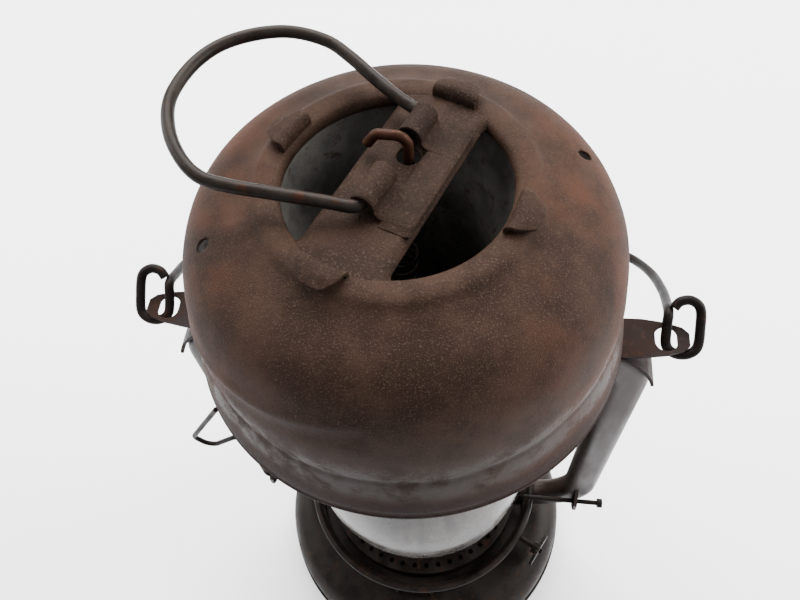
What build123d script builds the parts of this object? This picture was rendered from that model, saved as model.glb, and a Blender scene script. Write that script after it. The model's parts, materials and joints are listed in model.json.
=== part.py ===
from build123d import *
import os
from math import cos, radians, sin, sqrt

# Small cold-blast tubular kerosene lantern, in millimetres.
# Z = 0 is the table, +Z is up, X runs through the two side tubes and -Y is the front.

os.makedirs("parts", exist_ok=True)

# ---------------------------------------------------------------- driving dimensions
sheet = 0.8                    # thickness of all pressed sheet
gap = 0.3                      # free gap between pieces that move past each other

# tank and drum
tank_radius = 76.5
tank_wall_top = 13.0           # where the side wall turns into the shoulder
tank_neck_radius = 22.0        # foot of the burner collar
tank_neck_z = 34.0
drum_radius = 55.5
drum_rim_radius = 57.8
drum_rim_z = 55.5
drum_bead = 1.7

# side tubes
tube_width = 15.0              # radial
tube_depth = 11.0              # across
tube_x = 81.5
tube_low_z = 46.0              # centre line where it enters the drum
tube_low_bend = 26.0
tube_high_z = 212.0            # centre line where it enters the air chamber
tube_high_bend = 22.0

# air chamber
chamber_radius = 55.0
chamber_low_z = 203.0
chamber_high_z = 221.0
collar_radius = 32.5           # inside of the guide collar
collar_top_z = 228.0

# hood and chimney
hood_top_z = 296.0
opening_radius = 32.0
hood_rim_radius = 72.0
hood_rim_z = 228.4
strap_angle = 68.0             # direction of the strap about Z
strap_width = 27.0
chimney_radius = 30.0
chimney_low_z = 168.0
chimney_mouth_radius = 35.3
tab_width = 14.0
tab_reach = 6.0

# globe and its plate
globe_low_z = 54.0
globe_high_z = 162.0
globe_foot_radius = 39.0
globe_bulge_radius = 51.4
globe_bulge_z = 104.0
globe_lip_radius = 33.0
globe_wall = 2.4
plate_radius = 50.0
plate_top_z = 53.7
burner_clear_radius = 24.5

# globe lever
lever_wire = 2.4
lever_y = -8.2
lever_z = 62.0                 # pivot line, in front of the tubes
crank_x = 51.9                 # where the wire steps down beside the globe plate
crank_z = 51.2
crank_y = 27.8
stub_x = 92.0
arm_x = -83.0

# burner and wick
burner_angle = -29.0           # direction of the wick shaft about Z
shaft_z = 42.0
shaft_offset = 5.0             # beside the wick tube
shaft_wire = 2.6
wheel_radius = 9.0
wheel_at = 69.0

# filler
filler_angle = 125.0
filler_radius = 66.5
filler_z = 26.0
filler_tilt = 32.0
cap_radius = 9.0

# bail and ears
ear_hole = Vector(89.0, 0, 219.6)
ear_slope = 3.0
bail_wire = 3.2
bail_tilt = -35.0              # rest angle of the arms about X, from straight back
eye_tilt = 38.0                # rest angle of the two eyes
eye_arm = 9.0                  # along the eye, where the arm bends away
bail_reach = 98.0

# lift ring, clip and hook
ring_wire = 3.7
ring_tilt = 10.0
ring_shift = 2.5               # pivot line, to the left of the strap's centre line
ring_pivot_z = hood_top_z + 3.7
hook_wire = 3.0
spring_radius = 4.6

strap_plane = Plane(
    origin=(0, 0, hood_top_z),
    x_dir=(cos(radians(strap_angle)), sin(radians(strap_angle)), 0),
    z_dir=(0, 0, 1),
)

# ---------------------------------------------------------------- tank
with BuildPart() as tank_shell:
    with BuildSketch(Plane.XZ):
        with BuildLine():
            shoulder_low = (tank_radius - sheet / 2, tank_wall_top)
            wall_line = Line((tank_radius - sheet / 2, 1.6), shoulder_low)
            shoulder = TangentArc(shoulder_low, (62.0, 28.4), tangent=(0, 1))
            Line(shoulder @ 1, (tank_neck_radius, tank_neck_z))
            offset(amount=sheet / 2)
        make_face()
    revolve(axis=Axis.Z)
    # seam bead around the foot
    with BuildSketch(Plane.XZ):
        with Locations((tank_radius, 2.6)):
            Circle(1.1)
    revolve(axis=Axis.Z)
    # hole under the filler neck
    filler_plane = Plane(
        origin=(
            filler_radius * cos(radians(filler_angle)),
            filler_radius * sin(radians(filler_angle)),
            filler_z,
        ),
        x_dir=(-sin(radians(filler_angle)), cos(radians(filler_angle)), 0),
        z_dir=(
            sin(radians(filler_tilt)) * cos(radians(filler_angle)),
            sin(radians(filler_tilt)) * sin(radians(filler_angle)),
            cos(radians(filler_tilt)),
        ),
    )
    with BuildSketch(filler_plane.offset(-6)):
        Circle(7.2)
    extrude(amount=14, mode=Mode.SUBTRACT)
tank_shell.part.label = "tank_shell"
export_step(tank_shell.part, "parts/tank_shell.step")

with BuildPart() as tank_bottom:
    with BuildSketch(Plane.XZ):
        with BuildLine():
            Polyline(
                (0, 0), (46, 0), (48, 1.6), (56, 1.6), (58, 0), (75.2, 0), (75.2, 7), (74.4, 7),
                (74.4, 0.8), (58.4, 0.8), (56.4, 2.4), (47.6, 2.4), (45.6, 0.8), (0, 0.8),
                close=True,
            )
        make_face()
    revolve(axis=Axis.Z)
tank_bottom.part.label = "tank_bottom"
export_step(tank_bottom.part, "parts/tank_bottom.step")

with BuildPart() as burner_collar:
    with BuildSketch(Plane.XZ):
        with BuildLine():
            Polyline(
                (19.2, 33.0), (21.4, 33.0), (21.4, 37.6), (22.6, 38.4), (21.4, 39.2), (21.4, 40.4),
                (19.2, 40.4), close=True,
            )
        make_face()
    revolve(axis=Axis.Z)
burner_collar.part.label = "burner_collar"
export_step(burner_collar.part, "parts/burner_collar.step")

with BuildPart() as filler_neck:
    with BuildSketch(filler_plane.offset(-3)):
        Circle(7.0)
        Circle(6.0, mode=Mode.SUBTRACT)
    extrude(amount=12)
filler_neck.part.label = "filler_neck"
export_step(filler_neck.part, "parts/filler_neck.step")

with BuildPart() as cap_gasket:
    with BuildSketch(filler_plane.offset(9.1)):
        Circle(7.3)
        Circle(5.4, mode=Mode.SUBTRACT)
    extrude(amount=1.0)
cap_gasket.part.label = "cap_gasket"
export_step(cap_gasket.part, "parts/cap_gasket.step")

with BuildPart() as filler_cap:
    with BuildSketch(filler_plane.offset(3.6)):
        Circle(cap_radius)
    extrude(amount=8.2)
    with BuildSketch(filler_plane.offset(3.6)):
        Circle(7.4)
    extrude(amount=6.6, mode=Mode.SUBTRACT)
    with BuildSketch(filler_plane.offset(3.6)):
        with PolarLocations(cap_radius + 0.5, 24):
            Circle(0.9)
    extrude(amount=6.4, mode=Mode.SUBTRACT)
    filler_axis = Axis(filler_plane.origin, filler_plane.z_dir)
    chamfer(filler_cap.faces().sort_by(filler_axis)[-1].edges(), 0.7)
filler_cap.part.label = "filler_cap"
export_step(filler_cap.part, "parts/filler_cap.step")

# ---------------------------------------------------------------- side tubes
# The section is a rounded box, swept along a U-shaped run in the XZ plane.
tube_shapes = []
for inset in (0, sheet):
    with BuildPart() as tube_shape:
        with BuildLine(Plane.XZ):
            low = Line((52.6, tube_low_z), (tube_x - tube_low_bend, tube_low_z))
            low_arc = TangentArc(low @ 1, (tube_x, tube_low_z + tube_low_bend), tangent=low % 1)
            rise = Line(low_arc @ 1, (tube_x, tube_high_z - tube_high_bend))
            high_arc = TangentArc(rise @ 1, (tube_x - tube_high_bend, tube_high_z), tangent=rise % 1)
            Line(high_arc @ 1, (51.4, tube_high_z))
        with BuildSketch(Plane.YZ.offset(52.6)):
            with Locations((0, tube_low_z)):
                RectangleRounded(tube_depth - 2 * inset, tube_width - 2 * inset, 4.6 - inset)
        sweep()
    tube_shapes.append(tube_shape.part)
tube_solid, tube_bore = tube_shapes

with BuildPart() as right_tube:
    add(tube_solid)
    add(tube_bore, mode=Mode.SUBTRACT)
right_tube.part.label = "right_tube"
export_step(right_tube.part, "parts/right_tube.step")

with BuildPart() as left_tube:
    add(right_tube.part.mirror(Plane.YZ))
left_tube.part.label = "left_tube"
export_step(left_tube.part, "parts/left_tube.step")

# ---------------------------------------------------------------- drum on the tank
with BuildPart() as tank_space:
    with BuildSketch(Plane.XZ):
        with BuildLine():
            start = Line((0, 0), (tank_radius, 0))
            side = Line(start @ 1, (tank_radius, tank_wall_top))
            crown = TangentArc(side @ 1, (62.0, 28.9), tangent=(0, 1))
            top = Line(crown @ 1, (tank_neck_radius, tank_neck_z + sheet))
            roof = Line(top @ 1, (0, tank_neck_z + sheet))
            Line(roof @ 1, (0, 0))
        make_face()
    revolve(axis=Axis.Z)

shaft_dir = Vector(cos(radians(burner_angle)), sin(radians(burner_angle)), 0)
shaft_side = Vector(-shaft_dir.Y, shaft_dir.X, 0)
shaft_foot = shaft_side * shaft_offset + Vector(0, 0, shaft_z)
shaft_plane = Plane(origin=shaft_foot, x_dir=shaft_side, z_dir=shaft_dir)

with BuildPart() as drum:
    with BuildSketch(Plane.XZ):
        with BuildLine():
            Polyline(
                (drum_radius - sheet, 27.0), (drum_radius, 27.0), (drum_radius, drum_rim_z - 3.0),
                (drum_rim_radius, drum_rim_z - 1.0), (drum_rim_radius, drum_rim_z),
                (drum_radius - sheet, drum_rim_z - 2.4), close=True,
            )
        make_face()
    revolve(axis=Axis.Z)
    with BuildSketch(Plane.XZ):
        with Locations((drum_rim_radius, drum_rim_z)):
            Circle(drum_bead)
    revolve(axis=Axis.Z)
    # two pressed ribs on the front of the wall
    for rib_x in (-9, 9):
        with BuildSketch(Plane.XY.offset(27)):
            with Locations((rib_x, -sqrt((drum_radius + 0.3) ** 2 - rib_x**2))):
                Circle(1.0)
        extrude(amount=drum_rim_z - 31)
    add(tank_space.part, mode=Mode.SUBTRACT)
    add(tube_solid, mode=Mode.SUBTRACT)
    add(tube_solid.mirror(Plane.YZ), mode=Mode.SUBTRACT)
    with BuildSketch(shaft_plane.offset(48)):
        Circle(shaft_wire / 2 + 0.7)
    extrude(amount=16, mode=Mode.SUBTRACT)
drum.part.label = "drum"
export_step(drum.part, "parts/drum.step")

with BuildPart() as drum_cover:
    with BuildSketch(Plane.XY.offset(44.4)):
        Circle(drum_radius - sheet - 0.1)
        Circle(27.0, mode=Mode.SUBTRACT)
        for ring_r, holes in ((33, 24), (39, 30), (45, 36)):
            with PolarLocations(ring_r, holes):
                Circle(1.4, mode=Mode.SUBTRACT)
    extrude(amount=sheet)
    add(tube_solid, mode=Mode.SUBTRACT)
    add(tube_solid.mirror(Plane.YZ), mode=Mode.SUBTRACT)
drum_cover.part.label = "drum_cover"
export_step(drum_cover.part, "parts/drum_cover.step")

# ---------------------------------------------------------------- burner
with BuildPart() as burner_body:
    with BuildSketch(Plane.XZ):
        with BuildLine():
            Polyline(
                (17.4, 34.0), (19.0, 34.0), (19.0, 40.6), (23.4, 40.6), (23.4, 48.4), (22.6, 48.4),
                (22.6, 41.4), (17.4, 41.4), close=True,
            )
        make_face()
    revolve(axis=Axis.Z)
    with BuildSketch(shaft_plane.offset(10)):
        Circle(shaft_wire / 2 + 0.35)
    extrude(amount=18, mode=Mode.SUBTRACT)
    with BuildSketch(Plane.XY.offset(45.6)):
        with PolarLocations(23, 28):
            Circle(0.8)
    extrude(amount=3, mode=Mode.SUBTRACT)
burner_body.part.label = "burner_body"
export_step(burner_body.part, "parts/burner_body.step")

wick_plane = Plane(origin=(0, 0, 34.0), x_dir=shaft_dir, z_dir=(0, 0, 1))

with BuildPart() as wick_tube:
    with BuildSketch(wick_plane):
        RectangleRounded(15.0, 3.6, 1.5)
        RectangleRounded(13.6, 2.4, 1.0, mode=Mode.SUBTRACT)
    extrude(amount=27.5)
    # foot disc that closes the burner under the chamber
    with BuildSketch(wick_plane):
        Circle(17.3)
        RectangleRounded(13.6, 2.4, 1.0, mode=Mode.SUBTRACT)
    extrude(amount=sheet)
    # windows for the two spur wheels
    for along in (-4, 4):
        with BuildSketch(Plane(origin=(0, 0, shaft_z), x_dir=shaft_dir, z_dir=(0, 0, 1))):
            with Locations((along, 1.8)):
                Rectangle(1.6, 2.4)
        extrude(amount=4.6, both=True, mode=Mode.SUBTRACT)
wick_tube.part.label = "wick_tube"
export_step(wick_tube.part, "parts/wick_tube.step")

with BuildPart() as burner_cone:
    with BuildSketch(Plane.XZ):
        with BuildLine():
            foot = Line((23.0, 48.8), (21.8, 51.0))
            ThreePointArc(foot @ 1, (18.6, 60.0), (8.0, 65.4))
            offset(amount=sheet / 2)
        make_face()
    revolve(axis=Axis.Z)
    with BuildSketch(wick_plane.offset(22)):
        RectangleRounded(19, 6.4, 2.5)
    extrude(amount=12, mode=Mode.SUBTRACT)
burner_cone.part.label = "burner_cone"
export_step(burner_cone.part, "parts/burner_cone.step")

with BuildPart() as wick:
    with BuildSketch(wick_plane.offset(-24)):
        Rectangle(12.4, 1.9)
    extrude(amount=54.5)
wick.part.label = "wick"
export_step(wick.part, "parts/wick.step")

with BuildPart() as wick_shaft:
    with BuildSketch(shaft_plane.offset(-9)):
        Circle(shaft_wire / 2)
    extrude(amount=wheel_at + 12)
wick_shaft.part.label = "wick_shaft"
export_step(wick_shaft.part, "parts/wick_shaft.step")

with BuildPart() as spur_wheels:
    for along in (-4, 4):
        with BuildSketch(shaft_plane.offset(along - 0.4)):
            Circle(3.9)
            Circle(shaft_wire / 2, mode=Mode.SUBTRACT)
            with PolarLocations(4.0, 10):
                Circle(0.6, mode=Mode.SUBTRACT)
        extrude(amount=0.8)
spur_wheels.part.label = "spur_wheels"
export_step(spur_wheels.part, "parts/spur_wheels.step")

with BuildPart() as wick_wheel:
    with BuildSketch(shaft_plane.offset(wheel_at)):
        Circle(wheel_radius)
        Circle(shaft_wire / 2, mode=Mode.SUBTRACT)
        with PolarLocations(wheel_radius + 0.35, 30):
            Circle(0.75, mode=Mode.SUBTRACT)
    extrude(amount=1.4)
    with BuildSketch(shaft_plane.offset(wheel_at - 2.6)):
        Circle(3.2)
        Circle(shaft_wire / 2, mode=Mode.SUBTRACT)
    extrude(amount=2.6)
wick_wheel.part.label = "wick_wheel"
export_step(wick_wheel.part, "parts/wick_wheel.step")

# ---------------------------------------------------------------- globe plate and globe
with BuildPart() as globe_plate:
    with BuildSketch(Plane.XZ):
        with BuildLine():
            Polyline(
                (burner_clear_radius, plate_top_z), (plate_radius, plate_top_z),
                (plate_radius, 46.2), (plate_radius - sheet, 46.2),
                (plate_radius - sheet, plate_top_z - sheet),
                (burner_clear_radius, plate_top_z - sheet), close=True,
            )
        make_face()
    revolve(axis=Axis.Z)
    with BuildSketch(Plane.XY.offset(plate_top_z)):
        for ring_r, holes in ((28.5, 30), (33, 34), (46, 48)):
            with PolarLocations(ring_r, holes):
                Circle(1.2)
    extrude(amount=-sheet, mode=Mode.SUBTRACT)
    # clearance in the skirt for the lever wire, on both sides
    with BuildSketch(Plane.XY.offset(46)):
        for side_x in (-plate_radius, plate_radius):
            with Locations((side_x, lever_y + 0.9)):
                Rectangle(6, lever_wire + 4)
    extrude(amount=plate_top_z - sheet - 46, mode=Mode.SUBTRACT)
    # upright tabs that hold the foot of the globe
    with BuildSketch(Plane.XY.offset(plate_top_z - sheet)):
        with PolarLocations(globe_foot_radius + 2.0, 4, start_angle=45):
            Rectangle(sheet, 7)
    extrude(amount=6 + sheet)
globe_plate.part.label = "globe_plate"
export_step(globe_plate.part, "parts/globe_plate.step")

with BuildPart() as globe:
    with BuildSketch(Plane.XZ):
        with BuildLine():
            foot = Line((globe_foot_radius, globe_low_z), (globe_foot_radius, globe_low_z + 5))
            belly = ThreePointArc(foot @ 1, (globe_bulge_radius, globe_bulge_z - 6), (globe_lip_radius, 153))
            lip = Line(belly @ 1, (globe_lip_radius, globe_high_z))
            rim = Line(lip @ 1, (globe_lip_radius - globe_wall, globe_high_z))
            neck = Line(rim @ 1, (globe_lip_radius - globe_wall, 152))
            inner = ThreePointArc(
                neck @ 1,
                (globe_bulge_radius - globe_wall, globe_bulge_z - 6),
                (globe_foot_radius - globe_wall, globe_low_z + 6),
            )
            seat = Line(inner @ 1, (globe_foot_radius - globe_wall, globe_low_z))
            Line(seat @ 1, foot @ 0)
        make_face()
    revolve(axis=Axis.Z)
globe.part.label = "globe"
export_step(globe.part, "parts/globe.step")

# ---------------------------------------------------------------- globe lever
with BuildPart() as lift_lever:
    with BuildLine():
        lever_route = FilletPolyline(
            (stub_x, lever_y, lever_z), (crank_x, lever_y, lever_z), (crank_x, lever_y, crank_z),
            (44, lever_y, crank_z), (32, crank_y, crank_z), (-32, crank_y, crank_z),
            (-44, lever_y, crank_z), (-crank_x, lever_y, crank_z), (-crank_x, lever_y, lever_z),
            (arm_x, lever_y, lever_z), (arm_x, lever_y, 119), (-104, lever_y, 99),
            (-110, lever_y, 110), (-89, lever_y, 146),
            radius=[2.5, 2.5, 3, 4, 4, 3, 2.5, 2.5, 3, 4, 5, 5],
        )
    with BuildSketch(Plane(origin=lever_route @ 0, z_dir=lever_route % 0)):
        Circle(lever_wire / 2)
    sweep()
    # knob upset on the free end
    with BuildSketch(Plane.YZ.offset(stub_x - 1.0)):
        with Locations((lever_y, lever_z)):
            Circle(2.3)
    extrude(amount=2.4)
lift_lever.part.label = "lift_lever"
export_step(lift_lever.part, "parts/lift_lever.step")

for side_name, side in (("right", 1), ("left", -1)):
    with BuildPart() as lug:
        with BuildSketch(Plane.YZ.offset(side * 79.6)):
            with BuildLine():
                Polyline(
                    (-tube_depth / 2, lever_z - 8), (-tube_depth / 2, lever_z + 10),
                    (-9.6, lever_z + 6), (-12.0, lever_z + 3), (-12.0, lever_z - 3),
                    (-9.6, lever_z - 6), close=True,
                )
            make_face()
            with Locations((lever_y, lever_z)):
                Circle(lever_wire / 2 + 0.1, mode=Mode.SUBTRACT)
        extrude(amount=0.8, both=True)
    lug.part.label = side_name + "_lever_lug"
    export_step(lug.part, "parts/" + side_name + "_lever_lug.step")

# ---------------------------------------------------------------- air chamber
with BuildPart() as air_chamber:
    with BuildSketch(Plane.XZ):
        with BuildLine():
            Polyline(
                (collar_radius, chamber_low_z), (chamber_radius, chamber_low_z),
                (chamber_radius, chamber_high_z), (collar_radius + sheet, chamber_high_z),
                (collar_radius + sheet, collar_top_z), (collar_radius, collar_top_z), close=True,
            )
        make_face()
        with BuildLine():
            Polyline(
                (collar_radius + sheet, chamber_low_z + sheet),
                (chamber_radius - sheet, chamber_low_z + sheet),
                (chamber_radius - sheet, chamber_high_z - sheet),
                (collar_radius + sheet, chamber_high_z - sheet), close=True,
            )
        make_face(mode=Mode.SUBTRACT)
    revolve(axis=Axis.Z)
    add(tube_solid, mode=Mode.SUBTRACT)
    add(tube_solid.mirror(Plane.YZ), mode=Mode.SUBTRACT)
    # intake holes around the top
    with BuildSketch(Plane.XY.offset(chamber_high_z)):
        with PolarLocations(44, 20, start_angle=9):
            Circle(2.2)
    extrude(amount=-sheet, mode=Mode.SUBTRACT)
air_chamber.part.label = "air_chamber"
export_step(air_chamber.part, "parts/air_chamber.step")

with BuildPart() as tube_collars:
    for side in (1, -1):
        with BuildSketch(Plane.YZ.offset(side * (chamber_radius + 1.9))):
            with Locations((0, tube_high_z)):
                RectangleRounded(tube_depth + 3.2, tube_width + 3.0, 5.6)
                RectangleRounded(tube_depth, tube_width, 4.6, mode=Mode.SUBTRACT)
        extrude(amount=0.8, both=True)
tube_collars.part.label = "tube_collars"
export_step(tube_collars.part, "parts/tube_collars.step")

with BuildPart() as spring_bar:
    with BuildSketch(Plane.XZ.offset(0.05 - collar_radius)):
        with Locations((0, 224.5)):
            Circle(1.2)
    extrude(amount=2 * collar_radius - 0.1)
spring_bar.part.label = "spring_bar"
export_step(spring_bar.part, "parts/spring_bar.step")

with BuildPart() as guard_hoop:
    with BuildSketch(Plane.XZ):
        with Locations((44.0, 157.0)):
            Circle(1.3)
    revolve(axis=Axis.Z)
    for side in (1, -1):
        with BuildSketch(Plane.YZ.offset(side * 44.6)):
            with Locations((0, 157.0)):
                Circle(1.3)
        extrude(amount=side * (tube_x - tube_width / 2 - 44.6))
guard_hoop.part.label = "guard_hoop"
export_step(guard_hoop.part, "parts/guard_hoop.step")

# ---------------------------------------------------------------- ears
ear_plane = Plane(
    origin=ear_hole,
    x_dir=(cos(radians(ear_slope)), 0, sin(radians(ear_slope))),
    z_dir=(-sin(radians(ear_slope)), 0, cos(radians(ear_slope))),
)
with BuildPart() as right_ear:
    with BuildSketch(ear_plane):
        with BuildLine():
            Polyline(
                (-20.0, -7.6), (-8.0, -7.6), (0.0, -6.4), (5.4, -4.6), (7.6, -2.4), (7.6, 2.4),
                (5.4, 4.6), (0.0, 6.4), (-8.0, 7.6), (-20.0, 7.6), close=True,
            )
        make_face()
        with Locations((-0.2, 0)):
            RectangleRounded(7.4, 9.6, 3.5, mode=Mode.SUBTRACT)
    extrude(amount=0.5, both=True)
    # saddle that lies on the shoulder of the tube
    with BuildSketch(Plane.XZ):
        with Locations((tube_x - tube_high_bend, tube_high_z - tube_high_bend)):
            Circle(tube_high_bend + tube_width / 2 + 1.2)
            Circle(tube_high_bend + tube_width / 2, mode=Mode.SUBTRACT)
        with BuildLine():
            Polyline((59.5, 190), (66, 226), (90.0, 219), (95.0, 200), close=True)
        make_face(mode=Mode.INTERSECT)
    extrude(amount=7.6, both=True)
    add(tube_solid, mode=Mode.SUBTRACT)
right_ear.part.label = "right_ear"
export_step(right_ear.part, "parts/right_ear.step")

with BuildPart() as left_ear:
    add(right_ear.part.mirror(Plane.YZ))
left_ear.part.label = "left_ear"
export_step(left_ear.part, "parts/left_ear.step")

# ---------------------------------------------------------------- bail
# Each eye lies in a plane leaning eye_tilt; the arms leave it in one leaning bail_tilt.
eye_along = Vector(0, cos(radians(eye_tilt)), sin(radians(eye_tilt)))
arm_along = Vector(0, cos(radians(bail_tilt)), sin(radians(bail_tilt)))
pivot = Vector(0, 0, ear_hole.Z)
eye_outline = [(92.8, 13.4), (99.6, 13.4), (99.6, -4.6), (88.8, -4.6), (88.8, eye_arm)]
arm_outline = [(90.8, 22.0), (91.6, 52.0), (52.0, bail_reach)]
bail_half = [pivot + Vector(x, 0, 0) + eye_along * up for x, up in eye_outline]
bail_half += [
    pivot + Vector(x, 0, 0) + eye_along * eye_arm + arm_along * out for x, out in arm_outline
]
bail_radii = [5.3, 5.3, 5.3, 4, 30, 60, 60]
with BuildPart() as bail:
    with BuildLine():
        bail_route = FilletPolyline(
            *bail_half, *[Vector(-p.X, p.Y, p.Z) for p in reversed(bail_half)],
            radius=bail_radii + bail_radii[::-1],
        )
    with BuildSketch(Plane(origin=bail_route @ 0, z_dir=bail_route % 0)):
        Circle(bail_wire / 2)
    sweep()
bail.part.label = "bail"
export_step(bail.part, "parts/bail.step")

# ---------------------------------------------------------------- chimney and its bell
with BuildPart() as chimney:
    with BuildSketch(Plane.XZ):
        with BuildLine():
            flue = Line((chimney_radius - sheet / 2, chimney_low_z), (chimney_radius - sheet / 2, 258))
            cone = Line(flue @ 1, (chimney_mouth_radius - sheet / 2, 284))
            Line(cone @ 1, (chimney_mouth_radius - sheet / 2, hood_top_z - sheet - gap - 0.4))
            offset(amount=sheet / 2)
        make_face()
    revolve(axis=Axis.Z)
    # slots that let the wall slide past the spring bar
    with BuildSketch(Plane.XZ.offset(-40)):
        with Locations((0, 209)):
            Rectangle(3.6, 38)
    extrude(amount=80, mode=Mode.SUBTRACT)
    # four tabs, through the hood and bent outwards over it
    for turn in range(4):
        tab_plane = Plane(
            origin=(0, 0, 0),
            x_dir=(cos(radians(strap_angle + 90 * turn)), sin(radians(strap_angle + 90 * turn)), 0),
            z_dir=(0, 0, 1),
        )
        with BuildSketch(tab_plane.offset(hood_top_z - 3)):
            with Locations((chimney_mouth_radius - sheet / 2, 0)):
                Rectangle(sheet, tab_width)
        extrude(amount=3.1 + sheet)
        with BuildSketch(tab_plane.offset(hood_top_z + 0.1)):
            with BuildLine():
                near = chimney_mouth_radius - sheet
                far = near + tab_reach
                edge = Line((near, -tab_width / 2), (near, tab_width / 2))
                Spline(edge @ 1, (far - 1.6, tab_width / 3), (far, 0), (far - 1.6, -tab_width / 3), edge @ 0)
            make_face()
        extrude(amount=sheet)
chimney.part.label = "chimney"
export_step(chimney.part, "parts/chimney.step")

with BuildPart() as bell:
    with BuildSketch(Plane.XZ):
        with BuildLine():
            skirt = Line((35.6, 158.4), (35.6, 163.4))
            roof = Line(skirt @ 1, (chimney_radius + sheet / 2, 169.0))
            Line(roof @ 1, (chimney_radius + sheet / 2, 173.5))
            offset(amount=sheet / 2)
        make_face()
    revolve(axis=Axis.Z)
bell.part.label = "bell"
export_step(bell.part, "parts/bell.step")

# ---------------------------------------------------------------- hood
with BuildPart() as hood:
    with BuildSketch(Plane.XZ):
        with BuildLine():
            ring_flat = Line((0, hood_top_z - 0.4), (40.0, hood_top_z - 0.5))
            step = Line(ring_flat @ 1, (41.4, hood_top_z - 1.9))
            crown = ThreePointArc(step @ 1, (55.0, hood_top_z - 7.9), (63.8, hood_top_z - 18.8))
            flank = ThreePointArc(crown @ 1, (67.6, hood_top_z - 30.0), (66.0, hood_top_z - 48.2))
            band = ThreePointArc(flank @ 1, (69.9, hood_top_z - 54.6), (71.4, hood_top_z - 61.5))
            Line(band @ 1, (hood_rim_radius - 0.4, hood_rim_z))
            offset(amount=sheet / 2)
        make_face()
        with Locations((50, 250)):
            Rectangle(100, 100, mode=Mode.INTERSECT)
    revolve(axis=Axis.Z)
    with BuildSketch(Plane.XZ):
        with Locations((hood_rim_radius - 0.2, hood_rim_z)):
            Circle(1.1)
    revolve(axis=Axis.Z)
    # two windows, one each side of the strap
    with BuildSketch(strap_plane.offset(2)):
        Circle(opening_radius)
        Rectangle(2 * opening_radius + 2, strap_width, mode=Mode.SUBTRACT)
    extrude(amount=-6, mode=Mode.SUBTRACT)
    # vent holes at the shoulder
    with BuildSketch(Plane.XY.offset(hood_top_z)):
        for vent in (20.6, 200.6):
            with Locations((55.2 * cos(radians(vent)), 55.2 * sin(radians(vent)))):
                Circle(2.0)
    extrude(amount=-14, mode=Mode.SUBTRACT)
    # slots for the chimney's tabs and the hook's hole in the strap
    with BuildSketch(strap_plane.offset(2)):
        with PolarLocations(chimney_mouth_radius - sheet / 2, 4):
            Rectangle(sheet + 0.3, tab_width + 0.5)
        with Locations((9, 1)):
            Circle(3.4)
    extrude(amount=-6, mode=Mode.SUBTRACT)
hood.part.label = "hood"
export_step(hood.part, "parts/hood.step")

# ---------------------------------------------------------------- ring clip
# Saddle on the strap with two barrels; local x runs along the strap, local y to its left.
barrel_radius = ring_wire / 2 + 0.08
barrels = ((-14.0, -1.5), (12.5, 21.0))
with BuildPart() as ring_clip:
    with BuildSketch(strap_plane.offset(0.02)):
        with Locations((2.3, -1.6)):
            Rectangle(37.4, 19.4)
        with Locations((9, 1)):
            Circle(3.3, mode=Mode.SUBTRACT)
        with Locations((5.4, 7)):
            Rectangle(13.6, 12, mode=Mode.SUBTRACT)
    extrude(amount=sheet)
    for low, high in barrels:
        barrel_plane = Plane(
            origin=strap_plane.from_local_coords(Vector(low, ring_shift, ring_pivot_z - hood_top_z)),
            x_dir=-strap_plane.y_dir,
            z_dir=strap_plane.x_dir,
        )
        with BuildSketch(barrel_plane):
            Circle(barrel_radius + sheet)
            with Locations((0, 1.85)):
                Rectangle(2 * (barrel_radius + sheet), 3.7)
            Circle(barrel_radius, mode=Mode.SUBTRACT)
        extrude(amount=high - low)
ring_clip.part.label = "ring_clip"
export_step(ring_clip.part, "parts/ring_clip.step")

# ---------------------------------------------------------------- lift ring
ring_tip = Vector(0, ring_shift, ring_pivot_z - hood_top_z)
ring_out = strap_plane.y_dir * cos(radians(ring_tilt)) + Vector(0, 0, 1) * sin(radians(ring_tilt))
ring_plane = Plane(
    origin=strap_plane.from_local_coords(ring_tip),
    x_dir=strap_plane.x_dir,
    z_dir=strap_plane.x_dir.cross(ring_out),
)
with BuildPart() as lift_ring:
    with BuildLine(ring_plane):
        ring_route = FilletPolyline(
            (-2.5, 0), (-16.2, 0), (-30.5, 31), (-20, 61), (23, 61), (35.5, 31), (23.2, 0), (13.5, 0),
            radius=[3.2, 26, 27, 27, 26, 3.2],
        )
    with BuildSketch(Plane(origin=ring_route @ 0, z_dir=ring_route % 0)):
        Circle(ring_wire / 2)
    sweep()
lift_ring.part.label = "lift_ring"
export_step(lift_ring.part, "parts/lift_ring.step")

# ---------------------------------------------------------------- spring and its hook rod
with BuildPart() as hook_rod:
    with BuildLine(strap_plane):
        hook_route = FilletPolyline(
            (0, 0, -30), (0, 0, -20), (9, 1, -12), (9, 1, 7.4), (6.8, 9.6, 6.6), (6.2, 12.2, 2.6),
            radius=[4, 4, 3.4, 2.2],
        )
    with BuildSketch(Plane(origin=hook_route @ 0, z_dir=hook_route % 0)):
        Circle(hook_wire / 2)
    sweep()
hook_rod.part.label = "hook_rod"
export_step(hook_rod.part, "parts/hook_rod.step")

spring_low_z = 226.6
spring_high_z = 265.2
with BuildPart() as hood_spring:
    with BuildLine():
        coil = Helix(
            pitch=4.4, height=spring_high_z - spring_low_z, radius=spring_radius,
            center=(0, 0, spring_low_z),
        )
    with BuildSketch(Plane(origin=coil @ 0, z_dir=coil % 0)):
        Circle(0.6)
    sweep(is_frenet=True)
hood_spring.part.label = "hood_spring"
export_step(hood_spring.part, "parts/hood_spring.step")
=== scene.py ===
"""Looks of a small rusted cold-blast barn lantern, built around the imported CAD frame. Metres."""
import json
import math

import bmesh
import bpy
from mathutils import Matrix, Vector, noise


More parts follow.
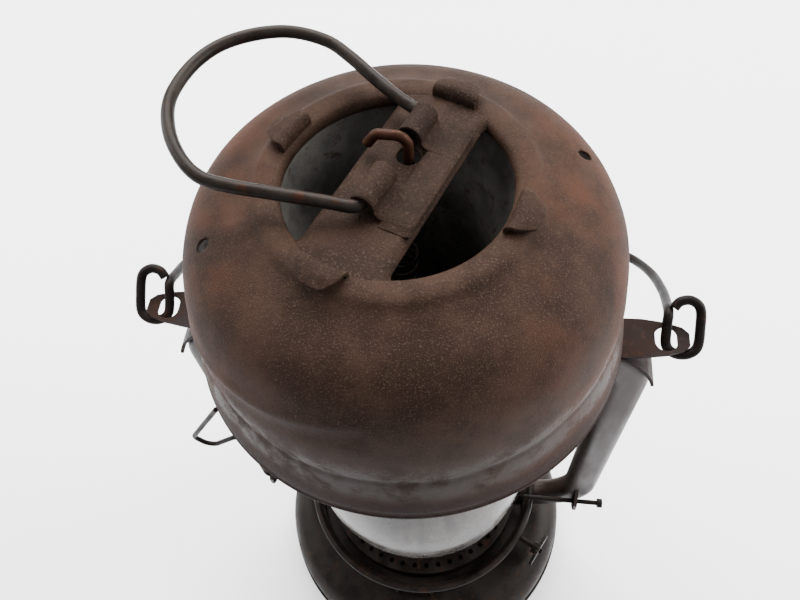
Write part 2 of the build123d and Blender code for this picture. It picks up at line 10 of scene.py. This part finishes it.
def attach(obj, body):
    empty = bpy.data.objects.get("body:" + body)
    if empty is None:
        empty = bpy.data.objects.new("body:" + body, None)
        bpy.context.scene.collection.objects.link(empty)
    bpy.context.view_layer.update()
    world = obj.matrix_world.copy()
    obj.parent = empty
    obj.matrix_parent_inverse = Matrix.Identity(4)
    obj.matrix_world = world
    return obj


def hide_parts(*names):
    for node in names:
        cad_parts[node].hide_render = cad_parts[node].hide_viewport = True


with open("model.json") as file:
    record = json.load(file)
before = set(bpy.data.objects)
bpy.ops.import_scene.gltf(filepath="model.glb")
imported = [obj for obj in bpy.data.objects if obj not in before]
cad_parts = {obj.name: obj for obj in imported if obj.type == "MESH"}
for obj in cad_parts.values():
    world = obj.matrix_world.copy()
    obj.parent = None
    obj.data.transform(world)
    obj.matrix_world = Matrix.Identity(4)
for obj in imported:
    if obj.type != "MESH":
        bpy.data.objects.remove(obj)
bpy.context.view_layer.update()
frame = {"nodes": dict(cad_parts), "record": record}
nodes = frame["nodes"]
MM = 0.001


# ------------------------------------------------------------------ small node-tree helpers
class Tree:
    """A material's node tree, with short calls for the nodes that the finishes share."""

    def __init__(self, name):
        self.material = bpy.data.materials.new(name)
        self.material.use_nodes = True
        self.nodes = self.material.node_tree.nodes
        self.links = self.material.node_tree.links
        self.nodes.clear()
        self.shader = self.nodes.new("ShaderNodeBsdfPrincipled")
        self.output = self.nodes.new("ShaderNodeOutputMaterial")
        self.links.new(self.shader.outputs[0], self.output.inputs[0])
        self.place = self.nodes.new("ShaderNodeTexCoord").outputs["Object"]

    def noise(self, per_metre, detail=4.0, rough=0.6, stretch=(1, 1, 1), distortion=0.0):
        """Noise with that many features in a metre; stretch changes the scale along each axis."""
        mapping = self.nodes.new("ShaderNodeMapping")
        mapping.inputs["Scale"].default_value = [per_metre * s for s in stretch]
        texture = self.nodes.new("ShaderNodeTexNoise")
        texture.inputs["Scale"].default_value = 1.0
        texture.inputs["Detail"].default_value = detail
        texture.inputs["Roughness"].default_value = rough
        texture.inputs["Distortion"].default_value = distortion
        self.links.new(self.place, mapping.inputs["Vector"])
        self.links.new(mapping.outputs[0], texture.inputs["Vector"])
        return texture.outputs["Fac"]

    def window(self, value, low, high, out_low=0.0, out_high=1.0):
        """Maps low..high to out_low..out_high, clamped and smooth."""
        node = self.nodes.new("ShaderNodeMapRange")
        node.interpolation_type = "SMOOTHSTEP"
        node.inputs["From Min"].default_value = low
        node.inputs["From Max"].default_value = high
        node.inputs["To Min"].default_value = out_low
        node.inputs["To Max"].default_value = out_high
        self.links.new(value, node.inputs["Value"])
        return node.outputs[0]

    def math(self, operation, a, b=0.0):
        node = self.nodes.new("ShaderNodeMath")
        node.operation = operation
        for socket, value in zip(node.inputs, (a, b)):
            if isinstance(value, (int, float)):
                socket.default_value = value
            else:
                self.links.new(value, socket)
        return node.outputs[0]

    def mix(self, factor, a, b):
        """Colour a where factor is 0, colour b where it is 1."""
        node = self.nodes.new("ShaderNodeMix")
        node.data_type = "RGBA"
        self.links.new(factor, node.inputs["Factor"])
        for socket, value in ((node.inputs["A"], a), (node.inputs["B"], b)):
            if isinstance(value, tuple):
                socket.default_value = (*value, 1.0)
            else:
                self.links.new(value, socket)
        return node.outputs["Result"]

    def axis(self, name):
        """X, Y or Z of the point in the object's own frame."""
        split = self.nodes.new("ShaderNodeSeparateXYZ")
        self.links.new(self.place, split.inputs[0])
        return split.outputs[name]

    def bump(self, value, strength, depth):
        node = self.nodes.new("ShaderNodeBump")
        node.inputs["Strength"].default_value = strength
        node.inputs["Distance"].default_value = depth
        self.links.new(value, node.inputs["Height"])
        self.links.new(node.outputs[0], self.shader.inputs["Normal"])

    def finish(self, colour, roughness, metallic=0.0, specular=0.4):
        self.links.new(colour, self.shader.inputs["Base Color"])
        if isinstance(roughness, (int, float)):
            self.shader.inputs["Roughness"].default_value = roughness
        else:
            self.links.new(roughness, self.shader.inputs["Roughness"])
        self.shader.inputs["Metallic"].default_value = metallic
        self.shader.inputs["Specular IOR Level"].default_value = specular
        return self.material


# ------------------------------------------------------------------ materials
def rusted_hood(name="rusted_hood", lift=1.0, reds=1.0, coarse=1.0):
    """Sandy brown rust, redder at the sides, with a painted highlight as a greyish band low on the front
    and a dark rim that is partly painted shade.
    """
    def c(r, g, b):
        return (r * lift, g * lift, b * lift)

    t = Tree(name)
    broad = t.noise(24, 5, 0.62)
    cloud = t.noise(75, 5, 0.65)
    blotch = t.noise(260, 4, 0.65)
    speckle = t.noise(2100 / coarse, 2, 0.7)
    fine = t.noise(3600 / coarse, 2, 0.6)
    brown = t.mix(t.window(cloud, 0.36, 0.66), c(0.0130, 0.0066, 0.0042), c(0.0240, 0.0125, 0.0080))
    side = t.window(t.math("ABSOLUTE", t.axis("X")), 0.024, 0.060)
    patch = t.math("MULTIPLY", side, t.window(broad, 0.40, 0.62))
    red = t.mix(t.math("MULTIPLY", patch, 0.55 * reds), brown, c(0.060, 0.0195, 0.0085))
    # Greyish band low on the hood: a painted highlight along its shoulder; the band also gets lower
    # roughness.
    sheen_upper_limit = t.window(t.axis("Z"), 0.262, 0.246)
    sheen_lower_limit = t.window(t.axis("Z"), 0.236, 0.243)
    band = t.math("MULTIPLY", t.math("MULTIPLY", sheen_upper_limit, sheen_lower_limit), t.window(cloud, 0.36, 0.6))
    grey = t.mix(t.math("MULTIPLY", band, 0.75), red, c(0.020, 0.0165, 0.0140))
    # Darker at the rolled rim: partly its dark rust, partly painted shade under the hood's edge.
    rim = t.window(t.axis("Z"), 0.241, 0.232)
    dark = t.mix(t.math("MULTIPLY", rim, 0.9), grey, c(0.0070, 0.0022, 0.0014))
    stained = t.mix(t.window(blotch, 0.54, 0.74, 0.0, 0.45), dark, c(0.0110, 0.0062, 0.0044))
    sand = t.mix(t.window(speckle, 0.50, 0.72), stained, c(0.038, 0.0245, 0.0172))
    pit = t.mix(t.window(fine, 0.36, 0.26), sand, c(0.0050, 0.0030, 0.0025))
    rough = t.window(t.math("ADD", speckle, t.math("MULTIPLY", band, -0.5)), 0.1, 0.6, 0.42, 0.74)
    relief = t.math("ADD", t.math("MULTIPLY", speckle, 0.6), t.math("MULTIPLY", fine, 0.5))
    t.bump(relief, 0.7, 0.0004 * coarse)
    return t.finish(pit, rough, 0.0, 0.05)


def rust(name, low, high, spot, roughness=(0.45, 0.8), metallic=0.3, grain=900, depth=0.0002, spots=0.55):
    """Stained sheet: two browns in clouds, rust spots, a little pale dust and a fine rough grain."""
    t = Tree(name)
    cloud = t.noise(80, 5, 0.65, distortion=0.4)
    blotch = t.noise(240, 4, 0.7)
    fine = t.noise(grain * 2, 3, 0.65)
    base = t.mix(t.window(cloud, 0.34, 0.66), low, high)
    spotted = t.mix(t.window(blotch, spots, spots + 0.12), base, spot)
    dusty = t.mix(t.window(fine, 0.62, 0.78), spotted, tuple(c * 1.6 + 0.003 for c in high))
    rough = t.window(cloud, 0.3, 0.7, *roughness)
    t.bump(t.math("ADD", fine, t.math("MULTIPLY", blotch, 1.5)), 0.35, depth)
    return t.finish(dusty, rough, metallic, 0.05)


def side_tube():
    """Tinned tube with a dull silver outer face, brown on its front and inner faces as painted shade, and
    brown towards the bottom.
    """
    t = Tree("tube_steel")
    cloud = t.noise(60, 5, 0.65, stretch=(1, 1, 0.35))
    fine = t.noise(1800, 3, 0.65)
    silver = t.mix(t.window(cloud, 0.34, 0.66), (0.060, 0.052, 0.044), (0.165, 0.152, 0.136))
    brown = t.mix(t.window(cloud, 0.34, 0.66), (0.0105, 0.0062, 0.0046), (0.0200, 0.0125, 0.0095))
    # Brown on the face towards the front: painted shade.
    front = t.window(t.math("ADD", t.axis("Y"), t.math("MULTIPLY", cloud, 0.002)), -0.0010, -0.0034)
    body = t.mix(t.math("MULTIPLY", front, 0.92), silver, brown)
    # Brown on the face towards the globe: painted shade.
    inner_face_shade = t.window(t.math("ABSOLUTE", t.axis("X")), 0.084, 0.078)
    inner = t.mix(t.math("MULTIPLY", inner_face_shade, 0.9), body, brown)
    low = t.mix(t.window(t.axis("Z"), 0.085, 0.055), inner, brown)
    dusty = t.mix(t.window(fine, 0.62, 0.80), low, (0.05, 0.036, 0.028))
    t.bump(fine, 0.3, 0.0002)
    return t.finish(dusty, t.window(cloud, 0.3, 0.7, 0.34, 0.58), 0.25, 0.15)


def dusty_glass():
    """Old clear glass clouded with pale dust, sootier towards its mouth."""
    t = Tree("dusty_glass")
    cloud = t.noise(35, 5, 0.6)
    streak = t.noise(120, 4, 0.6, stretch=(1, 1, 0.15))
    film = t.mix(t.window(streak, 0.3, 0.7), (0.024, 0.0195, 0.0155), (0.078, 0.067, 0.055))
    soot = t.mix(t.window(t.axis("Z"), 0.125, 0.165, 0.0, 0.5), film, (0.030, 0.025, 0.022))
    t.bump(streak, 0.15, 0.0004)
    t.shader.inputs["Transmission Weight"].default_value = 0.35
    t.shader.inputs["IOR"].default_value = 1.45
    return t.finish(soot, t.window(cloud, 0.3, 0.7, 0.16, 0.38), 0.0, 0.5)


def woven_cotton():
    """Flat woven wick, charred at its top."""
    t = Tree("woven_cotton")
    weave = t.math("MULTIPLY", t.noise(900, 1, 0.5, (1, 1, 0.4)), t.noise(700, 1, 0.5, (0.4, 0.4, 1)))
    cloth = t.mix(t.window(weave, 0.12, 0.34), (0.20, 0.18, 0.145), (0.34, 0.31, 0.26))
    char = t.mix(t.window(t.axis("Z"), 0.058, 0.0625), cloth, (0.02, 0.018, 0.016))
    t.bump(weave, 0.6, 0.0005)
    return t.finish(char, 0.9, 0.0, 0.2)


MATERIALS = {
    "rusty_steel": rusted_hood(),
    "clip_steel": rusted_hood("clip_rust", 0.7, 0.5, 1.6),
    # Soot lifted to a light grey: painted light on the flue inside the hood.
    "sooty_steel": rust("sooty_steel", (0.055, 0.051, 0.046), (0.100, 0.093, 0.084),
                        (0.050, 0.036, 0.028), metallic=0.0),
    "tank_steel": rust("tank_steel", (0.0062, 0.0046, 0.0038), (0.0125, 0.0098, 0.0080),
                       (0.018, 0.0086, 0.0053), (0.32, 0.6), 0.1),
    "tube_steel": side_tube(),
    "ear_steel": rust("ear_steel", (0.0065, 0.0036, 0.0028), (0.0140, 0.0075, 0.0054),
                      (0.022, 0.0092, 0.0056), metallic=0.0),
    "wire": rust("dark_wire", (0.0045, 0.0033, 0.0028), (0.0090, 0.0064, 0.0054), (0.017, 0.0080, 0.0052),
                 (0.35, 0.62), 0.2),
    "ring_wire": rust("ring_wire", (0.0070, 0.0050, 0.0039), (0.0150, 0.0115, 0.0092),
                      (0.019, 0.0080, 0.0047), (0.3, 0.5), 0.2, spots=0.56),
    "brass": rust("old_brass", (0.10, 0.07, 0.035), (0.24, 0.17, 0.085), (0.08, 0.06, 0.04),
                  (0.3, 0.6), 0.8),
    "cork": rust("cork", (0.16, 0.10, 0.055), (0.26, 0.18, 0.11), (0.11, 0.06, 0.04), (0.8, 0.95), 0.0),
    "cotton": woven_cotton(),
    "globe_glass": dusty_glass(),
}
HOOK_RUST = rust("hook_rust", (0.020, 0.0080, 0.0045), (0.040, 0.0160, 0.0090),
                 (0.060, 0.0220, 0.0110), grain=1300)
STRAP_RUST = rusted_hood("strap_rust", 0.8, 0.5, 1.6)


def smooth(mesh):
    for face in mesh.polygons:
        face.use_smooth = True


slots = {entry["node"]: entry["material_slot"] for entry in frame["record"]["subparts"]}
for name, node in nodes.items():
    node.data.materials.clear()
    node.data.materials.append(HOOK_RUST if name == "hook_rod" else MATERIALS[slots[name]])
    smooth(node.data)


# ------------------------------------------------------------------ formed pieces
# mm and degrees, as the CAD; strap_point and MM bring them to metres
HOOD_TOP = 296.0
STRAP_ANGLE = math.radians(68)
RING_SHIFT = 2.5
RING_RISE = 3.7
WIRE = 1.85                       # radius of the ring's wire
SHEET = 0.8
CLIP_SHEET = 0.95
TAB_SKEW = (-1.7, -3.0, -4.0, 4.0)   # degrees each tab stands off its quarter
VENT_TURNS = (20.6, 200.6)        # degrees about Z
VENT_REACH = 55.2
BAIL_WIRE = 1.75
BAIL_PIVOT_Z = 219.6


def strap_point(s, t, z):
    """Point in metres from mm along the strap, to its left, and above the hood's top."""
    c, k = math.cos(STRAP_ANGLE), math.sin(STRAP_ANGLE)
    return Vector((c * s - k * t, k * s + c * t, HOOD_TOP + z)) * MM


def smooth_step(value, low, high):
    """0 below low, 1 above high, smooth between."""
    x = min(1.0, max(0.0, (value - low) / (high - low)))
    return x * x * (3 - 2 * x)


def curve_through(points, steps):
    """Catmull-Rom curve through the points, that many steps between neighbours."""
    points = [Vector(p) for p in points]
    count = len(points)
    out = []
    for i in range(count - 1):
        p0, p1, p2, p3 = (points[min(max(i + k, 0), count - 1)] for k in (-1, 0, 1, 2))
        for step in range(steps):
            x = step / steps
            out.append(0.5 * (2 * p1 + (p2 - p0) * x + (2 * p0 - 5 * p1 + 4 * p2 - p3) * x * x
                              + (3 * p1 - p0 - 3 * p2 + p3) * x ** 3))
    return out + [points[-1]]


def outward(path):
    """Unit normals of a 2-D path, to the left of its direction."""
    normals = []
    for i in range(len(path)):
        ahead = path[min(i + 1, len(path) - 1)] - path[max(i - 1, 0)]
        normals.append(Vector((-ahead.y, ahead.x)).normalized())
    return normals


def piece(name, verts, faces, body, slot, stands_for=(), material=None, bevel=0.0):
    """A mesh object in the row frame that rides a CAD body."""
    mesh = bpy.data.meshes.new(name)
    mesh.from_pydata([tuple(v) for v in verts], [], faces)
    shape = bmesh.new()
    shape.from_mesh(mesh)
    bmesh.ops.recalc_face_normals(shape, faces=shape.faces)
    shape.to_mesh(mesh)
    shape.free()
    mesh.materials.append(material or MATERIALS[slot])
    smooth(mesh)
    obj = bpy.data.objects.new(name, mesh)
    bpy.context.scene.collection.objects.link(obj)
    if bevel:
        modifier = obj.modifiers.new("soft_edges", "BEVEL")
        modifier.width = bevel
        modifier.segments = 2
        modifier.limit_method = "ANGLE"
        modifier.angle_limit = math.radians(50)
    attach(obj, body)
    if stands_for:
        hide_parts(*stands_for)
    return obj


def cut(obj, centre, radius, depth):
    """Bores a round hole along Z through a piece and keeps the result as its mesh."""
    bpy.ops.mesh.primitive_cylinder_add(vertices=40, radius=radius, depth=depth, location=centre)
    tool = bpy.context.object
    modifier = obj.modifiers.new("bore", "BOOLEAN")
    modifier.operation = "DIFFERENCE"
    modifier.solver = "EXACT"
    modifier.object = tool
    evaluated = obj.evaluated_get(bpy.context.evaluated_depsgraph_get())
    mesh = bpy.data.meshes.new_from_object(evaluated)
    obj.modifiers.remove(modifier)
    obj.data = mesh
    bpy.data.objects.remove(tool)


def revolved(path, around, wobble):
    """Closed ring of a closed 2-D outline in mm; wobble(r, z, angle) places each of its points."""
    verts, faces = [], []
    rows = len(path)
    for i in range(around):
        angle = 2 * math.pi * i / around
        for row, (r, z) in enumerate(path):
            verts.append(wobble(r, z, angle))
        for row in range(rows):
            a, b = i * rows, (i + 1) % around * rows
            faces.append((a + row, b + row, b + (row + 1) % rows, a + (row + 1) % rows))
    return verts, faces


def make_hood():
    """Spun hood: raised ring round its mouth, domed crown, slight waist, flared skirt, rolled rim."""
    outside = curve_through([
        (32.6, -4.5), (32.0, -2.6), (32.3, -1.0), (33.4, 0.0), (36.0, 0.5), (39.0, 0.0), (41.5, -1.9),
        (46.0, -4.0), (52.0, -6.4), (57.4, -10.0), (61.6, -14.7), (64.5, -20.5), (66.4, -27.0),
        (67.5, -34.0), (68.1, -41.0), (68.2, -46.0), (68.2, -48.3), (68.7, -50.2), (69.4, -53.0),
        (70.2, -56.3), (71.0, -60.0), (71.5, -63.0), (71.8, -66.2), (72.2, -67.3), (72.0, -68.5),
        (71.0, -68.9), (70.2, -68.2), (70.6, -67.0),
    ], 4)
    inside = [p - n * SHEET for p, n in zip(outside, outward(outside)) if p.y > -66.0]
    path = [tuple(p) for p in outside] + [tuple(p) for p in reversed(inside)]

    def wobble(r, z, angle):
        low = smooth_step(r, 56, 66)
        soft = noise.noise(Vector((math.cos(angle) * 1.9, math.sin(angle) * 1.9, z * 0.035))) * 0.55
        dent = noise.noise(Vector((math.cos(angle) * 5, math.sin(angle) * 5, z * 0.11 + 7))) * 0.22
        # ridge that runs from the front of the shoulder down to the left
        way = (math.degrees(angle) - 268 + 360) % 360 - 360
        along = smooth_step(way, -95, -70) * (1 - smooth_step(way, -6, 18))
        ridge_z = -18.5 + way * 0.27
        ridge = math.exp(-((z - ridge_z) / 2.0) ** 2) * 0.55
        ridge -= math.exp(-((z - ridge_z + 6) / 3.2) ** 2) * 0.5
        crease = math.exp(-((z + 48.2) / 1.3) ** 2) * -0.12
        move = (soft + dent) * (0.35 + 0.65 * low) + along * ridge * low + crease
        if r < 34 or z < -64:
            move *= 0.25
        rr = r + move * (0.3 + 0.7 * low) - 0.1 * low
        zz = z + move * 0.6 * (1 - low)
        return Vector((rr * math.cos(angle) + 0.5 * low, rr * math.sin(angle), HOOD_TOP + zz)) * MM

    verts, faces = revolved(path, 256, wobble)
    hood = piece("hood_shell", verts, faces, "hood_group", "rusty_steel", ["hood"])
    for turn in VENT_TURNS:
        a = math.radians(turn)
        place = Vector((VENT_REACH * math.cos(a), VENT_REACH * math.sin(a), HOOD_TOP - 7.5)) * MM
        cut(hood, place, 2.0 * MM, 12 * MM)
    smooth(hood.data)


def strip(rows):
    """Closed solid from rows of points that all go round the same closed section."""
    verts = [p for row in rows for p in row]
    n, m = len(rows), len(rows[0])
    faces = []
    for i in range(n - 1):
        for k in range(m):
            a, b = i * m + k, i * m + (k + 1) % m
            faces.append((a, a + m, b + m, b))
    half = m // 2
    for first in (0, (n - 1) * m):
        for k in range(half - 1):
            faces.append((first + k, first + k + 1, first + m - 2 - k, first + m - 1 - k))
    return verts, faces


def bent_sheet(path, s_from, s_to, thick, steps=14, droop=None):
    """Sheet with that centre path in (t, z), run along the strap from s_from to s_to."""
    path = [Vector(p) for p in path]
    normals = outward(path)
    section = [p + n * thick / 2 for p, n in zip(path, normals)]
    section += [p - n * thick / 2 for p, n in reversed(list(zip(path, normals)))]
    rows = []
    for i in range(steps + 1):
        s = s_from + (s_to - s_from) * i / steps
        drop = droop(s) if droop else 0.0
        row = []
        for q in section:
            rough = noise.noise(Vector((s * 0.3, q.x * 0.3, q.y * 0.3))) * 0.16
            row.append(strap_point(s, q.x, q.y + drop + rough))
        rows.append(row)
    return strip(rows)


def joined(parts):
    """Several (verts, faces) pairs as one."""
    verts, faces = [], []
    for more_verts, more_faces in parts:
        base = len(verts)
        verts += more_verts
        faces += [tuple(i + base for i in face) for face in more_faces]
    return verts, faces


def make_strap():
    """Band of the hood's own sheet across its mouth, edges turned down, wider where it meets the ring."""
    rows = []
    across = 26
    for i in range(61):
        s = -33.6 + 67.2 * i / 60
        half = 13.3 + 2.6 * smooth_step(abs(s), 26.5, 31.5)
        upper, lower = [], []
        for k in range(across + 1):
            t = half * (2 * k / across - 1)
            fall = -1.5 * smooth_step(abs(t), half - 2.6, half) * (1 - smooth_step(abs(s), 29, 32))
            z = -0.35 + fall + 0.25 * smooth_step(abs(s), 24, 33)
            z += 0.22 * noise.noise(Vector((s * 0.12, t * 0.12, 3.0)))
            upper.append(strap_point(s, t + 0.5, z))
            lower.append(strap_point(s, t + 0.5, z - SHEET))
        rows.append(upper + lower[::-1])
    verts, faces = strip(rows)
    band = piece("hood_strap", verts, faces, "hood_group", "rusty_steel", ["hood"], STRAP_RUST)
    cut(band, strap_point(9.0, 1.0, 0), 3.4 * MM, 10 * MM)
    smooth(band.data)


def make_chimney():
    """Sooty flue with a flared mouth, painted a light grey above its soot as painted light; its four tabs
    come up through the hood and are folded over.
    """
    outline = curve_through([(30.0, -128.0), (30.0, -90.0), (30.0, -60.0), (30.0, -38.0), (31.6, -28.0),
                             (33.8, -18.0), (35.2, -11.0), (35.2, -6.0), (35.2, -1.6)], 4)
    inner = [Vector((p.x - SHEET, p.y)) for p in reversed(outline)]

    def wobble(r, z, angle):
        soft = noise.noise(Vector((math.cos(angle) * 1.5, math.sin(angle) * 1.5, z * 0.03))) * 0.3
        return Vector(((r + soft) * math.cos(angle), (r + soft) * math.sin(angle), HOOD_TOP + z)) * MM

    verts, faces = revolved([tuple(p) for p in outline + inner], 120, wobble)
    piece("flue", verts, faces, "hood_group", "sooty_steel", ["chimney"])
    parts = []
    for quarter, skew in enumerate(TAB_SKEW):
        turn = STRAP_ANGLE + math.radians(90 * quarter + skew)
        route = curve_through([(33.6, -2.5), (33.6, 0.0), (33.9, 1.6), (35.0, 2.7), (36.8, 2.9),
                               (38.8, 2.4), (41.0, 1.4)], 3)
        normals = outward(route)
        rows = []
        for i, (p, n) in enumerate(zip(route, normals)):
            reach = i / (len(route) - 1)
            half = 6.8 * (1 - 0.55 * smooth_step(reach, 0.62, 1.1) ** 1.6)
            near, far = [], []
            for k in range(13):
                w = half * (k / 6 - 1)
                bow = -1.6 * (w / 6.4) ** 2 * reach
                lump = 0.18 * noise.noise(Vector((w * 0.4, i * 0.4, quarter * 5.0)))
                for side, row in ((0.6, near), (-0.6, far)):
                    q = p + n * (side + lump)
                    r, z = q.x + bow, q.y + bow * 0.2
                    row.append(Vector((r * math.cos(turn) - w * math.sin(turn),
                                       r * math.sin(turn) + w * math.cos(turn), HOOD_TOP + z)) * MM)
            rows.append(near + far[::-1])
        parts.append(strip(rows))
    verts, faces = joined(parts)
    piece("chimney_tabs", verts, faces, "hood_group", "rusty_steel", ["chimney"], STRAP_RUST, 0.0002)


def make_clip():
    """Folded clip on the strap: a flat leaf with a turned edge and two curls that hold the ring's ends."""
    curl = [(-12.2, 1.3), (-11.6, 0.55), (-10.4, 0.3), (-7.5, 0.3), (-4.5, 0.35), (-2.2, 0.9), (-1.0, 2.6)]
    for step in range(13):
        a = math.radians(178 - step * 19)
        curl.append((2.2 + 3.2 * math.cos(a), 3.7 + 3.15 * math.sin(a)))
    curl = curve_through(curl, 3)
    flat = curve_through([(-12.2, 1.3), (-11.6, 0.55), (-10.4, 0.3), (-7.5, 0.3), (-5.5, 0.3),
                          (-3.2, 0.3)], 4)

    def flange(s):
        return -0.9 * smooth_step(-s, 12.5, 16.5) + 0.3 * smooth_step(s, 19, 25)

    parts = [
        bent_sheet(curl, -14.6, -1.6, CLIP_SHEET, 16, flange),
        bent_sheet(flat, -16.4, -14.4, CLIP_SHEET, 6, flange),
        bent_sheet(flat, -1.8, 12.2, CLIP_SHEET, 14, flange),
        bent_sheet(curl, 12.0, 22.4, CLIP_SHEET, 14, flange),
        bent_sheet(flat, 22.2, 25.0, CLIP_SHEET, 6, flange),
    ]
    verts, faces = joined(parts)
    piece("clip_leaf", verts, faces, "hood_group", "clip_steel", ["ring_clip"], None, 0.00022)


def swept(route, radius, around=18):
    """Round wire along a 3-D route, with slightly uneven thickness and closed ends."""
    rows = []
    side = None
    for i, point in enumerate(route):
        ahead = (route[min(i + 1, len(route) - 1)] - route[max(i - 1, 0)]).normalized()
        side = Vector((0, 0, 1)).cross(ahead) if side is None else side - ahead * side.dot(ahead)
        side.normalize()
        other = ahead.cross(side)
        r = radius * (1 + 0.03 * noise.noise(point * 90.0))
        rows.append([point + (side * math.cos(a) + other * math.sin(a)) * r
                     for a in (2 * math.pi * k / around for k in range(around))])
    return strip(rows)


def make_ring():
    """Pear-shaped wire loop, its two ends turned in towards each other inside the clip's curls."""
    tilt = math.radians(10)
    loop = [(-2.5, 0), (-8, 0), (-13.4, 0), (-16.0, 1.6), (-18.6, 8.5), (-23.0, 20), (-27.2, 31),
            (-29.0, 39), (-26.8, 46.5), (-21.0, 54.5), (-12.0, 60.8), (0, 63), (11, 61.4),
            (20.5, 55.8), (27.6, 47.5), (30.4, 37), (28.8, 28), (25.2, 17), (22.8, 8), (21.8, 2.6),
            (20.0, 0.2), (17, 0), (13.2, 0)]
    route = [strap_point(u, RING_SHIFT + w * math.cos(tilt), RING_RISE + w * math.sin(tilt))
             for u, w in ((p.x, p.y) for p in curve_through(loop, 7))]
    verts, faces = swept(route, WIRE * MM)
    piece("ring_loop", verts, faces, "ring", "ring_wire", ["lift_ring"])


def make_bail():
    """Heavy dark wire: an arch that lies back, each end bent round into a closed eye in the ear's hole."""
    lean, rest = math.radians(38), math.radians(-35)
    eye = [(90.6, 11.0), (92.6, 13.3), (96.2, 13.8), (99.3, 11.2), (99.8, 4.5), (99.4, -2.0),
           (96.4, -4.7), (92.0, -4.7), (89.0, -2.0), (88.7, 4.0)]
    arch = [(89.0, 0.5), (90.2, 10.0), (91.0, 22), (90.0, 40), (84.5, 57), (72, 74), (53, 88),
            (28, 96), (0, 98.0)]
    half = [Vector((x, up * math.cos(lean), BAIL_PIVOT_Z + up * math.sin(lean))) for x, up in eye]
    bend = Vector((0, 9 * math.cos(lean), BAIL_PIVOT_Z + 9 * math.sin(lean)))
    half += [bend + Vector((x, out * math.cos(rest), out * math.sin(rest))) for x, out in arch]
    whole = half + [Vector((-p.x, p.y, p.z)) for p in reversed(half[:-1])]
    route = [p * MM for p in curve_through(whole, 8)]
    verts, faces = swept(route, BAIL_WIRE * MM)
    piece("bail_wire", verts, faces, "bail", "wire", ["bail"])


make_hood()
make_bail()
make_strap()
make_chimney()
make_clip()
make_ring()


# ------------------------------------------------------------------ stage, lights and camera
def make_stage():
    floor_size = 12.0
    bpy.ops.mesh.primitive_plane_add(size=floor_size, location=(0, 0, 0))
    floor = bpy.context.object
    floor.name = "floor"
    t = Tree("pale_floor")
    cloud = t.noise(3, 3, 0.5)
    pale = t.mix(cloud, (0.80, 0.80, 0.81), (0.84, 0.84, 0.85))
    floor.data.materials.append(t.finish(pale, 0.8, 0.0, 0.2))
    world = bpy.data.worlds.new("studio")
    bpy.context.scene.world = world
    world.use_nodes = True
    background = world.node_tree.nodes["Background"]
    background.inputs["Color"].default_value = (0.93, 0.95, 1.0, 1.0)
    background.inputs["Strength"].default_value = 0.75


def area_light(name, place, aim, size, power):
    data = bpy.data.lights.new(name, "AREA")
    data.shape = "RECTANGLE"
    data.size, data.size_y = size
    data.energy = power
    lamp = bpy.data.objects.new(name, data)
    lamp.location = place
    lamp.rotation_mode = "QUATERNION"
    lamp.rotation_quaternion = (Vector(aim) - Vector(place)).to_track_quat("-Z", "Y")
    bpy.context.scene.collection.objects.link(lamp)


def make_camera():
    """Close above the lantern's front, looking steeply down."""
    turn, down, roll = (math.radians(a) for a in (-11.106, 57.609, -5.888))
    ahead = Vector((math.sin(turn) * math.cos(down), math.cos(turn) * math.cos(down), -math.sin(down)))
    level = Vector((math.cos(turn), -math.sin(turn), 0))
    rise = level.cross(ahead)
    right = level * math.cos(roll) + rise * math.sin(roll)
    top = rise * math.cos(roll) - level * math.sin(roll)
    data = bpy.data.cameras.new("camera")
    data.sensor_width = 36.0
    data.lens = 33.75
    data.clip_start = 0.01
    data.clip_end = 50.0
    camera = bpy.data.objects.new("camera", data)
    camera.matrix_world = Matrix((
        (right.x, top.x, -ahead.x, 0.02384),
        (right.y, top.y, -ahead.y, -0.13383),
        (right.z, top.z, -ahead.z, 0.44943),
        (0, 0, 0, 1),
    ))
    bpy.context.scene.collection.objects.link(camera)
    bpy.context.scene.camera = camera


make_stage()
area_light("overhead", (-0.1, 1.1, 1.5), (0, 0, 0.15), (1.6, 1.4), 150)
area_light("front", (0.2, -1.3, 1.2), (0, 0, 0.15), (1.4, 1.0), 5)
area_light("right", (1.3, 0.3, 0.8), (0, 0, 0.2), (0.8, 1.2), 60)
area_light("left", (-1.2, 0.3, 0.9), (0, 0, 0.2), (0.8, 1.2), 36)
make_camera()
